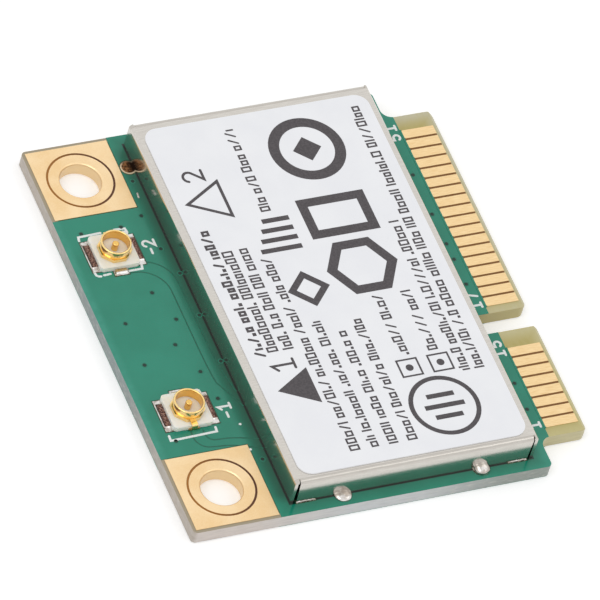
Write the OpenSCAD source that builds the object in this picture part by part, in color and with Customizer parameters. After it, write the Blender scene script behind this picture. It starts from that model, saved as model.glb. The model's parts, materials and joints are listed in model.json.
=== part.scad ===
// Half-size wireless mini card, lying flat with its component side up.
// X runs from the mounting holes to the tip of the contact tongue, Y across the card.
// The origin is under the middle of the card, on the plane that the card rests on.

/* [Card] */
// Length from the rear edge to the tip of the tongue
card_l = 26.8; // [26:0.1:30]
// Width of the body
card_w = 30; // [29:0.1:33]
// Thickness over the copper of both faces
board_t = 1.0; // [0.8:0.05:1.4]
// Radius of the corners of the body
body_corner_r = 0.3; // [0.2:0.05:0.8]
// Thickness of the copper lands and contacts
copper_t = 0.04; // [0.035:0.005:0.07]
// Thickness of the solder mask
mask_t = 0.025; // [0.015:0.005:0.035]
// Gap between a land and the solder mask round it
mask_gap = 0.06; // [0.04:0.01:0.1]

/* [Contact tongue] */
// How far the tongue stands out of the body
tongue_l = 3.25; // [3:0.05:3.6]
// Width of the tongue
tongue_w = 25.7; // [25.5:0.05:26.2]
// Radius of the outer corners of the tongue
tongue_corner_r = 0.4; // [0.2:0.05:0.7]
// Radius of the inner corners beside the tongue
shoulder_r = 0.7; // [0.3:0.05:1]
// Length of the ground bevel, along the card
bevel_run = 0.27; // [0.15:0.01:0.3]
// Depth of the ground bevel, on each face
bevel_drop = 0.25; // [0.1:0.01:0.3]
// Width of the key notch
key_w = 1.5; // [1.2:0.05:1.8]
// Depth of the key notch from the tip
key_depth = 4.0; // [3.6:0.05:4.05]
// Distance of the key notch from the middle of the card
key_offset = 3.85; // [3.7:0.05:4]
// Radius of the lead-in of the key notch on the side of the long row
key_lead_long = 0.5; // [0.2:0.05:0.6]
// Radius of the lead-in of the key notch on the side of the short row
key_lead_short = 0.2; // [0.1:0.05:0.5]

/* [Contacts] */
// Distance between contact centres
contact_pitch = 0.8; // [0.78:0.01:0.82]
// Width of a contact
contact_w = 0.65; // [0.5:0.05:0.7]
// Distance from the tip to the outer ends of the contacts
contact_setback = 0.37; // [0.33:0.01:0.5]
// Distance from the tip to the edge of the solder mask, where the contacts begin
contact_reach = 2.62; // [2.2:0.02:3]
// Corner chamfer at the inner ends of the contacts
contact_chamfer = 0.14; // [0.05:0.01:0.2]
// Contacts in the long row
long_row_count = 18; // [16:1:18]
// Contacts in the short row
short_row_count = 8; // [6:1:8]
// Distance from the key to the nearest contact of the long row
key_to_long_row = 1.62; // [1.55:0.01:1.7]
// Distance from the key to the nearest contact of the short row
key_to_short_row = 2.38; // [2:0.01:2.5]
// Shift of the bottom contacts against the top ones
bottom_shift = 0.4; // [0.3:0.05:0.5]

/* [Mounting holes] */
// Diameter of a mounting hole inside its plating
hole_d = 2.6; // [2.2:0.05:2.8]
// Distance of a hole's centre from the two edges beside it
hole_inset = 2.9; // [2.8:0.05:3.1]
// Radius that the mouths of the holes are rounded with
mouth_r = 0.14; // [0.1:0.01:0.2]
// Diameter of the round collar that the plating forms on each face
collar_d = 4.04; // [3.6:0.02:4.3]
// Gap between the collar and the square land
collar_gap = 0.14; // [0.1:0.01:0.2]
// Side of the square ground land
land_w = 5.4; // [5.2:0.05:5.5]

/* [Shield can] */
// Distance from the rear edge of the card to the can
shield_rear_gap = 6.53; // [6.3:0.05:6.6]
// Distance from the tip of the tongue to the can
shield_tip_gap = 4.27; // [4.1:0.01:4.6]
// Distance from the side edges of the card to the can
shield_side_gap = 0.8; // [0.75:0.01:1]
// Shift of the can across the card
shield_shift = 0.03; // [-0.05:0.01:0.05]
// Height of the can
shield_h = 1.95; // [1.7:0.05:2.4]
// Thickness of the sheet that the can is folded from
shield_t = 0.2; // [0.1:0.01:0.22]
// Outer radius of the folds
shield_fold_r = 0.25; // [0.23:0.01:0.35]
// How far the side walls stop short of the can's corners, at their feet
side_foot_setback = 0.4; // [0.36:0.01:0.5]
// How far the side walls stop short of the can's corners, at the fold
side_top_setback = 0.32; // [0.3:0.01:0.35]
// How far the front and rear walls stop short of the can's corners
front_setback = 0.05; // [0.02:0.01:0.1]
// Width of the lands under the walls
foot_land_w = 0.5; // [0.3:0.05:0.6]
// Length of the lands at the ends of the side walls
end_land_l = 1.25; // [1:0.05:1.6]
// How far those lands stand out of the can, and the width and height of the solder on them
end_land_out = 0.06; // [0.04:0.01:0.2]
// Length of a land under the front wall or the rear wall
front_land_l = 2.0; // [1:0.1:3]
// Distance between the lands under the front wall, and under the rear wall
front_land_pitch = 7; // [6:0.1:8]
// Radius of a solder blob
blob_r = 0.6; // [0.5:0.01:0.65]
// Distance between the two solder blobs of a side wall
blob_spacing = 9.12; // [8:0.02:11]
// How far a blob overhangs its round land
blob_overhang = 0.07; // [0.04:0.01:0.1]
// Diameter of the round pad beside the can
pad_d = 1.04; // [0.9:0.01:1.16]
// Distance of the round pad's centre from the can
pad_gap = 0.33; // [0.25:0.01:0.4]
// Distance of the round pad's centre from the side edge of the card
pad_inset = 2.53; // [2:0.01:3]

/* [Label] */
// Distance from the label to the ends of the can
label_end_gap = 0.5; // [0.4:0.05:2]
// Distance from the label to the sides of the can
label_side_gap = 0.57; // [0.4:0.01:2]
// Thickness of the label
label_t = 0.08; // [0.05:0.01:0.15]
// Radius of the corners of the label
label_corner_r = 0.9; // [0.3:0.05:1.5]
// Shift of the label on the can, across the card
label_shift = -0.14; // [-0.15:0.01:0.15]

/* [Coax receptacles] */
// Distance from the rear edge of the card to the receptacles' centres
socket_inset = 2.82; // [2.6:0.01:3]
// Distance between the two receptacles
socket_spacing = 12.52; // [12:0.02:13]
// Side of the moulded base
base_w = 2.6; // [2.4:0.05:2.8]
// Height of the moulded base
base_h = 0.35; // [0.3:0.01:0.45]
// Radius of the upright edges of the moulded base
base_corner_r = 0.25; // [0.1:0.01:0.35]
// Height of the moulded floor inside the ring, above the base
floor_rise = 0.1; // [0.05:0.01:0.15]
// Thickness of the metal in the shell and the pin
sheet_t = 0.1; // [0.08:0.01:0.12]
// Height of the receptacle
socket_h = 1.12; // [1:0.01:1.3]
// Inner radius of the ring
ring_inner_r = 0.83; // [0.8:0.01:0.85]
// Radius at the bottom of the latching groove
groove_r = 0.9; // [0.88:0.01:0.92]
// Outer radius of the rim above the groove
rim_r = 0.97; // [0.95:0.01:1]
// Height of the rim
rim_h = 0.36; // [0.3:0.01:0.4]
// Height of the sloped face between groove and rim
rim_slope = 0.06; // [0.03:0.01:0.08]
// Half of the distance across the flats of the octagonal flange
flange_r = 1.0; // [0.98:0.01:1.08]
// Height of the octagonal flange
flange_h = 0.25; // [0.2:0.01:0.28]
// Width of a ground foot
foot_w = 1.7; // [1.4:0.05:1.9]
// Distance from the receptacle's centre to the end of a ground foot
foot_reach = 1.7; // [1.6:0.05:1.8]
// Width of the upright that joins a ground foot to the ring
foot_neck_w = 0.76; // [0.5:0.02:0.8]
// Width of the tongue over the base and down its side
tongue_neck_w = 0.38; // [0.3:0.02:0.5]
// Width of the tongue's foot beside the base
tongue_foot_w = 0.72; // [0.6:0.02:0.9]
// Height of the tongue's foot
tongue_foot_h = 0.12; // [0.08:0.01:0.2]
// Diameter of the centre pin
pin_d = 0.42; // [0.38:0.01:0.5]
// Height of the centre pin
pin_h = 1.0; // [0.85:0.01:1.05]
// Radius of the edge at the top of the pin
pin_edge_r = 0.08; // [0.05:0.01:0.12]
// Width of the signal foot
signal_w = 0.72; // [0.6:0.02:0.8]
// Distance from the receptacle's centre to the end of the signal foot
signal_reach = 1.5; // [1.45:0.01:1.6]
// Width of the lands under the ground feet
ground_land_w = 2.4; // [2.3:0.05:2.7]
// How far the lands of the ground feet reach past their ends
ground_land_out = 0.05; // [0.03:0.01:0.08]
// How far the land of the signal foot reaches past its end
signal_land_out = 0.22; // [0.15:0.01:0.3]
// How much the land of the signal foot is wider than the foot, on each side
signal_land_rim = 0.11; // [0.05:0.01:0.15]
// How far the solder beside a ground foot runs out on the land
flank_run = 0.3; // [0.2:0.01:0.34]
// How far the solder at the end of the signal foot runs out on the land
signal_run = 0.2; // [0.1:0.01:0.22]
// Height of the solder on the feet
foot_solder_h = 0.09; // [0.05:0.01:0.09]

/* [Chips] */
// Side of the radio chip
chip_w = 8; // [7.8:0.1:8.6]
// Height of the radio chip
chip_h = 0.85; // [0.7:0.05:1]
// Terminals on each side of the radio chip
chip_terminals = 14; // [12:1:14]
// Side of the radio chip's heat pad
chip_pad_w = 5.6; // [4.5:0.1:6.2]
// Side of the front end modules and of the voltage regulator
module_w = 3; // [2.6:0.1:3.2]
// Height of the front end modules and of the voltage regulator
module_h = 0.75; // [0.6:0.05:0.9]
// Terminals on each side of a module
module_terminal_count = 4; // [3:1:4]
// Side of a module's heat pad
module_pad_w = 1.6; // [1:0.1:1.8]
// Distance between chip terminals
terminal_pitch = 0.5; // [0.45:0.01:0.5]
// Width of a chip terminal
terminal_w = 0.25; // [0.2:0.01:0.3]
// Length of a chip terminal
terminal_l = 0.4; // [0.3:0.01:0.5]
// Thickness of a chip terminal
terminal_t = 0.2; // [0.1:0.01:0.25]
// Length of the crystal
crystal_l = 3.2; // [2.5:0.1:3.4]
// Width of the crystal
crystal_w = 2.5; // [2:0.1:2.6]
// Height of the crystal's ceramic base
crystal_base_h = 0.5; // [0.3:0.05:0.6]
// Height of the crystal's metal lid
crystal_lid_h = 0.25; // [0.15:0.05:0.4]
// How far the lid stays inside the edge of the base
crystal_lid_rim = 0.15; // [0.1:0.01:0.25]
// Radius of the lid's corners
crystal_lid_corner_r = 0.25; // [0.1:0.05:0.4]

/* [Small parts] */
// Length of the small capacitors and the resistors
small_l = 1.0; // [0.8:0.05:1.1]
// Width of the small capacitors and the resistors
small_w = 0.5; // [0.4:0.05:0.6]
// Height of the small capacitors
small_cap_h = 0.5; // [0.4:0.05:0.6]
// Height of the resistors
resistor_h = 0.35; // [0.25:0.05:0.5]
// Length of the end terminals of the small capacitors and the resistors
small_band = 0.25; // [0.15:0.01:0.3]
// Distance between the small parts of a row
small_pitch = 1.1; // [1.05:0.01:1.2]
// Length of the bulk capacitors and the filters
bulk_l = 2.0; // [1.8:0.05:2.1]
// Width of the bulk capacitors and the filters
bulk_w = 1.25; // [1.1:0.05:1.3]
// Height of the bulk capacitors
bulk_h = 1.25; // [0.8:0.05:1.3]
// Height of the filters
filter_h = 0.7; // [0.5:0.05:0.9]
// Length of the end terminals of the bulk capacitors and the filters
bulk_band = 0.4; // [0.3:0.05:0.5]
// Distance between the bulk capacitors
bulk_pitch = 2.6; // [2.55:0.05:2.8]
// Length of a power inductor
inductor_l = 2.5; // [2:0.05:2.7]
// Width of a power inductor
inductor_w = 2.0; // [1.6:0.05:2.1]
// Height of a power inductor
inductor_h = 1.0; // [0.8:0.05:1.2]
// Length of the end terminals of a power inductor
inductor_band = 0.5; // [0.3:0.05:0.6]
// Thickness of the metal of the end terminals
end_metal_t = 0.03; // [0.02:0.005:0.05]
// How far the copper lands reach past the parts on them
solder_rim = 0.2; // [0.1:0.01:0.22]
// Gap between the radio chip and the rows of small parts round it
row_gap = 0.6; // [0.5:0.05:0.7]
// Gap between the lands of neighbouring parts
part_gap = 0.15; // [0.1:0.01:0.2]

/* [Places inside the can] */
// Distance from the can's front wall to the middle of the radio chip
chip_front_gap = 5.6; // [5.2:0.1:6]
// Distance of the radio chip from the middle of the can, across the card
chip_shift = 1.0; // [0.8:0.1:1.2]
// Distance from the can's rear wall to the middle of the front end modules
front_end_rear_gap = 2.3; // [2.2:0.1:2.6]
// Distance of the front end modules from the middle of the can
front_end_spread = 7.0; // [6.8:0.1:7.2]
// Distance of the filters from the middle of the can
filter_spread = 4.0; // [3.8:0.1:4.1]
// Distance of the voltage regulator from the middle of the can
regulator_spread = 7.2; // [7:0.1:7.6]
// Distance of the voltage regulator from the middle of the radio chip, along the card
regulator_shift = 1.4; // [1:0.1:1.6]
// Distance from the can's front wall to the middle of the power inductors
inductor_front_gap = 2.4; // [2.3:0.1:2.6]
// Distance of the outer power inductor from the middle of the can
inductor_1_spread = 8.8; // [8.6:0.1:9]
// Distance of the inner power inductor from the middle of the can
inductor_2_spread = 6.2; // [6.1:0.1:6.4]
// Gap between the radio chip and the middle of the crystal
crystal_gap = 3.5; // [3.4:0.05:3.6]
// Distance from the can's side walls to the rows of bulk capacitors and resistors
end_row_gap = 1.6; // [1.5:0.1:1.8]

/* [Hidden] */
$fn = 64;
over = 1;
skin = 0.01;
// Straight stretches in the hollow face of a solder fillet
fillet_steps = 4;

rear_x = -card_l / 2;
tip_x = card_l / 2;
side_y = card_w / 2;
shoulder_x = tip_x - tongue_l;
mask_stop_x = tip_x - contact_reach;
key_y = -key_offset;

lam_z0 = max(copper_t, mask_t);
lam_z1 = board_t - lam_z0;
seat_z = lam_z1 + copper_t;

hole_x = rear_x + hole_inset;
hole_y = side_y - hole_inset;

shield_l = card_l - shield_rear_gap - shield_tip_gap;
shield_w = card_w - 2 * shield_side_gap;
can_rear_x = rear_x + shield_rear_gap;
can_x = can_rear_x + shield_l / 2;
can_y = shield_shift;
can_top = seat_z + shield_h;
fold_inner_r = shield_fold_r - shield_t;
label_l = shield_l - 2 * label_end_gap;
label_w = shield_w - 2 * label_side_gap;
// The lands of the front and rear walls and the gap round them stay under the walls by this much
hidden_rim = mask_gap + skin;

socket_x = rear_x + socket_inset;
socket_y = socket_spacing / 2;

chip_x = shield_l / 2 - chip_front_gap;
chip_y = -chip_shift;
front_end_x = front_end_rear_gap - shield_l / 2;
regulator_x = chip_x - regulator_shift;
inductor_x = shield_l / 2 - inductor_front_gap;
crystal_y = chip_y - chip_w / 2 - crystal_gap;
end_row_y = shield_w / 2 - end_row_gap;

small_part = [small_l, small_w, small_cap_h, small_band];
resistor_part = [small_l, small_w, resistor_h, small_band];
bulk_part = [bulk_l, bulk_w, bulk_h, bulk_band];
filter_part = [bulk_l, bulk_w, filter_h, bulk_band];
inductor_part = [inductor_l, inductor_w, inductor_h, inductor_band];

// Reach of a small part from its middle to the edge of its lands, and across it
small_reach = small_l / 2 + solder_rim;
side_reach = small_w / 2;

// From the radio chip's middle to the rows of small parts round it
row_reach = chip_w / 2 + row_gap + small_l / 2;
// From the middle of the can to the small parts outside the front end modules
front_cap_y = front_end_spread + module_w / 2 + solder_rim + part_gap + small_reach;
// From the crystal to the small parts beside it
crystal_cap_x = crystal_l / 2 + solder_rim + part_gap + side_reach;
// From the voltage regulator to the small parts beside it
regulator_cap_x = module_w / 2 + solder_rim + part_gap + side_reach;

// Places of the small parts inside the can, from its middle, as x, y and turn
small_cap_spots = concat(
    [for (i = [-3:3], s = [-1, 1]) [chip_x + i * small_pitch, chip_y + s * row_reach, 90]],
    [for (i = [-1:1]) [chip_x - row_reach, chip_y + i * small_pitch, 0]],
    [for (i = [-1, 1], s = [-1, 1]) [front_end_x + i * small_pitch / 2, s * front_cap_y, 90]],
    [for (s = [-1, 1]) [chip_x + s * crystal_cap_x, crystal_y, 90]],
    [for (s = [-1, 1]) [regulator_x + regulator_cap_x, regulator_spread + s * (small_reach + part_gap / 2), 90]]
);
resistor_spots = [for (i = [-4.5:4.5]) [i * small_pitch, -end_row_y, 90]];
bulk_spots = [for (i = [-1.5:1.5]) [i * bulk_pitch, end_row_y, 0]];
filter_spots = [for (s = [-1, 1]) [front_end_x, s * filter_spread, 0]];
inductor_1_spot = [inductor_x, inductor_1_spread, 0];
inductor_2_spot = [inductor_x, inductor_2_spread, 0];
front_end_spots = [for (s = [-1, 1]) [front_end_x, s * front_end_spread, 0]];
regulator_spot = [regulator_x, regulator_spread, 0];
chip_spot = [chip_x, chip_y, 0];
crystal_spot = [chip_x, crystal_y, 0];

// A centred rectangle whose corners are true arcs
module round_rect(l, w, r) {
    square([l - 2 * r, w], center = true);
    square([l, w - 2 * r], center = true);
    for (sx = [-1, 1], sy = [-1, 1])
        translate([sx * (l / 2 - r), sy * (w / 2 - r)])
            circle(r = r);
}

// What rounding takes off a square corner that stands at the origin, or what a fillet adds there
module corner_scrap(r) {
    difference() {
        translate([-skin, -skin]) square(r + skin);
        translate([r, r]) circle(r = r);
    }
}

// A centred rectangle with a margin all round
module land(l, w, grow) {
    square([l + 2 * grow, w + 2 * grow], center = true);
}

// Both mirror images of what is drawn on the +Y side
module both_sides() {
    for (side = [0, 1])
        mirror([0, side, 0])
            children();
}

// Draws in XZ and extrudes along Y, centred
module along_y(l) {
    rotate([90, 0, 0])
        linear_extrude(l, center = true)
            children();
}

// Draws in YZ and extrudes along X, centred
module along_x(l) {
    rotate([90, 0, 90])
        linear_extrude(l, center = true)
            children();
}

module in_can() {
    translate([can_x, can_y, 0])
        children();
}

module at_spots(spots) {
    for (s = spots)
        translate([s[0], s[1], 0])
            rotate(s[2])
                children();
}

// The board's outline

module key_notch() {
    translate([tip_x - key_depth + key_w / 2, key_y]) {
        circle(d = key_w);
        translate([0, -key_w / 2]) square([key_depth + over, key_w]);
    }
    translate([tip_x, key_y + key_w / 2])
        mirror([1, 0, 0])
            corner_scrap(key_lead_long);
    translate([tip_x, key_y - key_w / 2])
        rotate(180)
            corner_scrap(key_lead_short);
}

module board_outline() {
    difference() {
        union() {
            translate([(rear_x + shoulder_x) / 2, 0])
                round_rect(shoulder_x - rear_x, card_w, body_corner_r);
            translate([tip_x / 2, 0])
                round_rect(tip_x, tongue_w, tongue_corner_r);
            both_sides()
                translate([shoulder_x, tongue_w / 2])
                    corner_scrap(shoulder_r);
        }
        key_notch();
    }
}

// The board seen from its side, with the bevelled tip
module board_side() {
    polygon([
        [rear_x - over, 0], [tip_x - bevel_run, 0], [tip_x, bevel_drop],
        [tip_x, board_t - bevel_drop], [tip_x - bevel_run, board_t], [rear_x - over, board_t]
    ]);
}

module circuit_board() {
    hole_r = hole_d / 2 + copper_t;
    color("darkkhaki")
        difference() {
            intersection() {
                translate([0, 0, lam_z0]) linear_extrude(lam_z1 - lam_z0) board_outline();
                along_y(card_w + over) board_side();
            }
            both_sides()
                translate([hole_x, hole_y, 0]) {
                    translate([0, 0, -over]) cylinder(r = hole_r, h = board_t + 2 * over);
                    rotate_extrude() mouth_scraps(hole_r, lam_z0, lam_z1, mouth_r - copper_t);
                }
        }
}

// Mounting holes and their lands

// What rounding takes off the two mouths of a hole, in the hole's section
module mouth_scraps(hole_r, z0, z1, r) {
    translate([hole_r, z0]) corner_scrap(r);
    translate([hole_r, z1]) mirror([0, 1, 0]) corner_scrap(r);
}

// Section of a ring with rounded mouths
module ring_with_mouths(inner_r, outer_r, z0, z1, r) {
    difference() {
        translate([inner_r, z0]) square([outer_r - inner_r, z1 - z0]);
        mouth_scraps(inner_r, z0, z1, r);
    }
}

module hole_plating() {
    color("goldenrod")
        rotate_extrude()
            difference() {
                ring_with_mouths(hole_d / 2, collar_d / 2, lam_z0 - copper_t, seat_z, mouth_r);
                ring_with_mouths(hole_d / 2 + copper_t, collar_d / 2 + over, lam_z0, lam_z1, mouth_r - copper_t);
            }
}

module ground_land() {
    color("goldenrod")
        for (z = [lam_z0 - copper_t, lam_z1])
            translate([0, 0, z])
                linear_extrude(copper_t)
                    difference() {
                        square(land_w, center = true);
                        circle(d = collar_d + 2 * collar_gap);
                    }
}

// The mask stays off each mounting land, out to the corner of the board
module corner_openings() {
    both_sides()
        translate([rear_x - over, hole_y - land_w / 2 - mask_gap])
            square([hole_inset + land_w / 2 + mask_gap + over, card_w]);
}

// Contacts of the tongue

module contact_outline() {
    contact_l = contact_reach - contact_setback;
    half_w = contact_w / 2;
    polygon([
        [0, -half_w + contact_chamfer], [contact_chamfer, -half_w], [contact_l, -half_w],
        [contact_l, half_w], [contact_chamfer, half_w], [0, half_w - contact_chamfer]
    ]);
}

// A row of contacts from the key outwards, to +Y where way is 1 and to -Y where it is -1
module contact_row(count, gap, way, shift, z) {
    color("gold")
        translate([mask_stop_x, key_y + way * gap + shift, z])
            linear_extrude(copper_t)
                for (i = [0:count - 1])
                    translate([0, way * i * contact_pitch])
                        contact_outline();
}

// Solder mask

module mask_field() {
    intersection() {
        board_outline();
        translate([rear_x, -card_w / 2]) square([mask_stop_x - rear_x, card_w]);
    }
}

module solder_mask_top() {
    color("seagreen")
        translate([0, 0, lam_z1])
            linear_extrude(mask_t)
                difference() {
                    mask_field();
                    corner_openings();
                    round_pad_outline(mask_gap);
                    shield_land_outlines(mask_gap);
                    both_sockets() socket_land_outlines(mask_gap);
                    in_can() component_land_outlines(mask_gap);
                }
}

module solder_mask_bottom() {
    color("seagreen")
        translate([0, 0, lam_z0 - mask_t])
            linear_extrude(mask_t)
                difference() {
                    mask_field();
                    corner_openings();
                }
}

// The round pad stops at the can's wall
module round_pad_outline(grow) {
    difference() {
        translate([can_rear_x - pad_gap, side_y - pad_inset]) circle(d = pad_d + 2 * grow);
        translate([can_rear_x + grow, -card_w / 2]) square([card_l, card_w]);
    }
}

module round_ground_pad() {
    color("peru")
        translate([0, 0, lam_z1])
            linear_extrude(copper_t)
                round_pad_outline(0);
}

// Shield can

// Lands of the side wall that faces +Y
module wall_lands(grow) {
    for (s = [-1, 1]) {
        translate([s * (shield_l / 2 - side_foot_setback - end_land_l / 2),
                   shield_w / 2 + (end_land_out - foot_land_w) / 2])
            land(end_land_l, foot_land_w + end_land_out, grow);
        translate([s * blob_spacing / 2, shield_w / 2])
            circle(r = blob_r - blob_overhang + grow);
    }
}

module shield_land_outlines(grow) {
    in_can() {
        both_sides() wall_lands(grow);
        for (s = [-1, 1], i = [-1.5:1.5])
            translate([s * ((shield_l - foot_land_w) / 2 - hidden_rim), i * front_land_pitch])
                land(foot_land_w, front_land_l, grow);
    }
}

module shield_lands() {
    color("silver")
        translate([0, 0, lam_z1])
            linear_extrude(copper_t)
                shield_land_outlines(0);
}

// A quarter of a ring in the second quadrant, for the folds
module fold_section() {
    intersection() {
        difference() {
            circle(r = shield_fold_r);
            circle(r = fold_inner_r);
        }
        translate([-shield_fold_r, 0]) square(shield_fold_r);
    }
}

// The wall and the fold of a side that faces -Y, with its outer face on Y 0.
// Foot and top are half the wall's length at its foot and at the fold.
module can_wall(foot, top) {
    fold_z = can_top - shield_fold_r;
    translate([0, shield_t / 2, 0])
        along_y(shield_t)
            polygon([[-foot, seat_z], [foot, seat_z], [top, fold_z], [-top, fold_z]]);
    translate([0, shield_fold_r, fold_z])
        along_x(2 * top)
            fold_section();
}

module shield_can() {
    side_foot = shield_l / 2 - side_foot_setback;
    side_top = shield_l / 2 - side_top_setback;
    front_half = shield_w / 2 - front_setback;
    color("lightgray")
        in_can() {
            translate([0, 0, can_top - shield_t])
                linear_extrude(shield_t)
                    square([shield_l - 2 * shield_fold_r, shield_w - 2 * shield_fold_r], center = true);
            for (turn = [0, 180])
                rotate(turn) {
                    translate([0, -shield_w / 2, 0]) can_wall(side_foot, side_top);
                    rotate(90) translate([0, -shield_l / 2, 0]) can_wall(front_half, front_half);
                }
        }
}

// A blob lies against the wall, and a fillet runs along the foot at each end of it
module wall_solder() {
    for (s = [-1, 1]) {
        translate([s * blob_spacing / 2, shield_w / 2, seat_z])
            intersection() {
                sphere(r = blob_r);
                translate([-blob_r, 0, 0]) cube([2 * blob_r, blob_r, blob_r]);
            }
        translate([s * (shield_l / 2 - side_foot_setback - end_land_l / 2), shield_w / 2, seat_z])
            foot_fillet(end_land_l, end_land_out, end_land_out);
    }
}

// Hollow solder in the corner between a land and a side that faces +Y
module foot_fillet(l, run, rise) {
    shares = [for (i = [0:fillet_steps]) i / fillet_steps];
    along_x(l)
        polygon(concat([[0, 0]], [for (share = shares) [run * (1 - share), rise * share * share]]));
}

module shield_solder() {
    color("white")
        in_can()
            both_sides()
                wall_solder();
}

module label() {
    color("whitesmoke")
        in_can()
            translate([0, label_shift, can_top])
                linear_extrude(label_t)
                    round_rect(label_l, label_w, label_corner_r);
}

// Coax receptacles. Each is drawn at the origin, with its signal foot towards -Y.

// Receptacle 1 is turned half round, so that both signal feet face the middle of the card
module at_socket(number) {
    translate([socket_x, number == 1 ? -socket_y : socket_y, 0])
        rotate(number == 1 ? 180 : 0)
            children();
}

module both_sockets() {
    for (number = [1, 2])
        at_socket(number)
            children();
}

module socket_land_outlines(grow) {
    ground_l = foot_reach + ground_land_out - ring_inner_r;
    signal_l = signal_reach + signal_land_out - ring_inner_r;
    for (s = [-1, 1])
        translate([s * (ring_inner_r + ground_l / 2), 0])
            land(ground_l, ground_land_w, grow);
    translate([0, -ring_inner_r - signal_l / 2])
        land(signal_w + 2 * signal_land_rim, signal_l, grow);
}

module socket_lands() {
    color("silver")
        translate([0, 0, lam_z1])
            linear_extrude(copper_t)
                socket_land_outlines(0);
}

// The foot that runs out under the base on +X, and the upright that carries it
module ground_foot() {
    translate([ring_inner_r, -foot_w / 2, 0])
        cube([foot_reach - ring_inner_r, foot_w, sheet_t]);
    translate([ring_inner_r, -foot_neck_w / 2, 0])
        cube([sheet_t, foot_neck_w, base_h]);
}

module ground_feet() {
    for (turn = [0, 180])
        rotate(turn)
            ground_foot();
}

// The strip under the base that carries the pin and ends in the signal foot
module signal_strip() {
    translate([-signal_w / 2, -signal_reach, 0])
        cube([signal_w, signal_reach + signal_w / 2, sheet_t]);
}

// The tongue that lies on the base and is bent down over its +Y edge
module shell_tongue() {
    translate([-tongue_neck_w / 2, ring_inner_r + sheet_t, base_h])
        cube([tongue_neck_w, base_w / 2 - ring_inner_r - sheet_t, sheet_t]);
    translate([0, base_w / 2, base_h])
        along_x(tongue_neck_w)
            intersection() {
                circle(r = sheet_t);
                square(sheet_t);
            }
    translate([-tongue_neck_w / 2, base_w / 2, 0])
        cube([tongue_neck_w, sheet_t, base_h]);
    translate([-tongue_foot_w / 2, base_w / 2, 0])
        cube([tongue_foot_w, sheet_t, tongue_foot_h]);
}

// Half of the ring's section, from the flange to the rounded lip
module ring_section() {
    wall = rim_r - ring_inner_r;
    lip_z = socket_h - wall / 2;
    rim_z = socket_h - rim_h;
    translate([ring_inner_r, base_h]) square([groove_r - ring_inner_r, rim_z - base_h]);
    polygon([
        [ring_inner_r, rim_z - rim_slope], [groove_r, rim_z - rim_slope], [rim_r, rim_z],
        [rim_r, lip_z], [ring_inner_r, lip_z]
    ]);
    translate([ring_inner_r + wall / 2, lip_z]) circle(d = wall);
}

module socket_shell() {
    color("goldenrod")
        translate([0, 0, seat_z]) {
            rotate_extrude() ring_section();
            translate([0, 0, base_h])
                difference() {
                    rotate(180 / 8) cylinder(r = flange_r / cos(180 / 8), h = flange_h, $fn = 8);
                    translate([0, 0, -over]) cylinder(r = ring_inner_r, h = flange_h + 2 * over);
                }
            ground_feet();
            shell_tongue();
        }
}

module socket_housing() {
    color("beige")
        translate([0, 0, seat_z])
            difference() {
                union() {
                    linear_extrude(base_h) round_rect(base_w, base_w, base_corner_r);
                    cylinder(r = ring_inner_r, h = base_h + floor_rise);
                }
                ground_feet();
                signal_strip();
                translate([0, 0, -over]) cylinder(d = pin_d, h = socket_h + over);
            }
}

module socket_pin() {
    flat_r = pin_d / 2 - pin_edge_r;
    color("gold")
        translate([0, 0, seat_z]) {
            signal_strip();
            cylinder(d = pin_d, h = pin_h - pin_edge_r);
            translate([0, 0, pin_h - pin_edge_r]) {
                cylinder(r = flat_r, h = pin_edge_r);
                rotate_extrude()
                    translate([flat_r, 0])
                        intersection() {
                            circle(r = pin_edge_r);
                            square(pin_edge_r);
                        }
            }
        }
}

// Fillets at the ends and flanks of the feet
module socket_solder() {
    foot_out = foot_reach - base_w / 2;
    color("white")
        translate([0, 0, seat_z]) {
            for (s = [-1, 1]) {
                translate([s * foot_reach, 0, 0])
                    rotate(-s * 90)
                        foot_fillet(foot_w, ground_land_out, ground_land_out);
                for (flank = [0, 1])
                    mirror([0, flank, 0])
                        translate([s * (base_w / 2 + foot_out / 2), foot_w / 2, 0])
                            foot_fillet(foot_out, flank_run, foot_solder_h);
            }
            translate([0, -signal_reach, 0])
                rotate(180)
                    foot_fillet(signal_w, signal_run, foot_solder_h);
        }
}

// Chips inside the can

// Terminals round the underside of a chip, and its heat pad
module chip_metal(side, count, pad_w) {
    for (turn = [0:90:270])
        rotate(turn)
            for (i = [0:count - 1])
                translate([side / 2 - terminal_l, (i - (count - 1) / 2) * terminal_pitch - terminal_w / 2, 0])
                    cube([terminal_l, terminal_w, terminal_t]);
    translate([-pad_w / 2, -pad_w / 2, 0]) cube([pad_w, pad_w, terminal_t]);
}

module chip_body(side, h, count, pad_w) {
    translate([0, 0, seat_z])
        difference() {
            translate([-side / 2, -side / 2, 0]) cube([side, side, h]);
            chip_metal(side, count, pad_w);
        }
}

module chip_land_outlines(side, count, pad_w, grow) {
    for (turn = [0:90:270])
        rotate(turn)
            for (i = [0:count - 1])
                translate([(side + solder_rim - terminal_l) / 2, (i - (count - 1) / 2) * terminal_pitch])
                    land(terminal_l + solder_rim, terminal_w, grow);
    land(pad_w, pad_w, grow);
}

module radio_chip() {
    color("dimgray")
        in_can()
            at_spots([chip_spot])
                chip_body(chip_w, chip_h, chip_terminals, chip_pad_w);
}

module radio_chip_terminals() {
    color("silver")
        in_can()
            at_spots([chip_spot])
                translate([0, 0, seat_z])
                    chip_metal(chip_w, chip_terminals, chip_pad_w);
}

module module_body(spot) {
    color("dimgray")
        in_can()
            at_spots([spot])
                chip_body(module_w, module_h, module_terminal_count, module_pad_w);
}

module module_terminals() {
    color("silver")
        in_can()
            at_spots(concat(front_end_spots, [regulator_spot]))
                translate([0, 0, seat_z])
                    chip_metal(module_w, module_terminal_count, module_pad_w);
}

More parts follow.
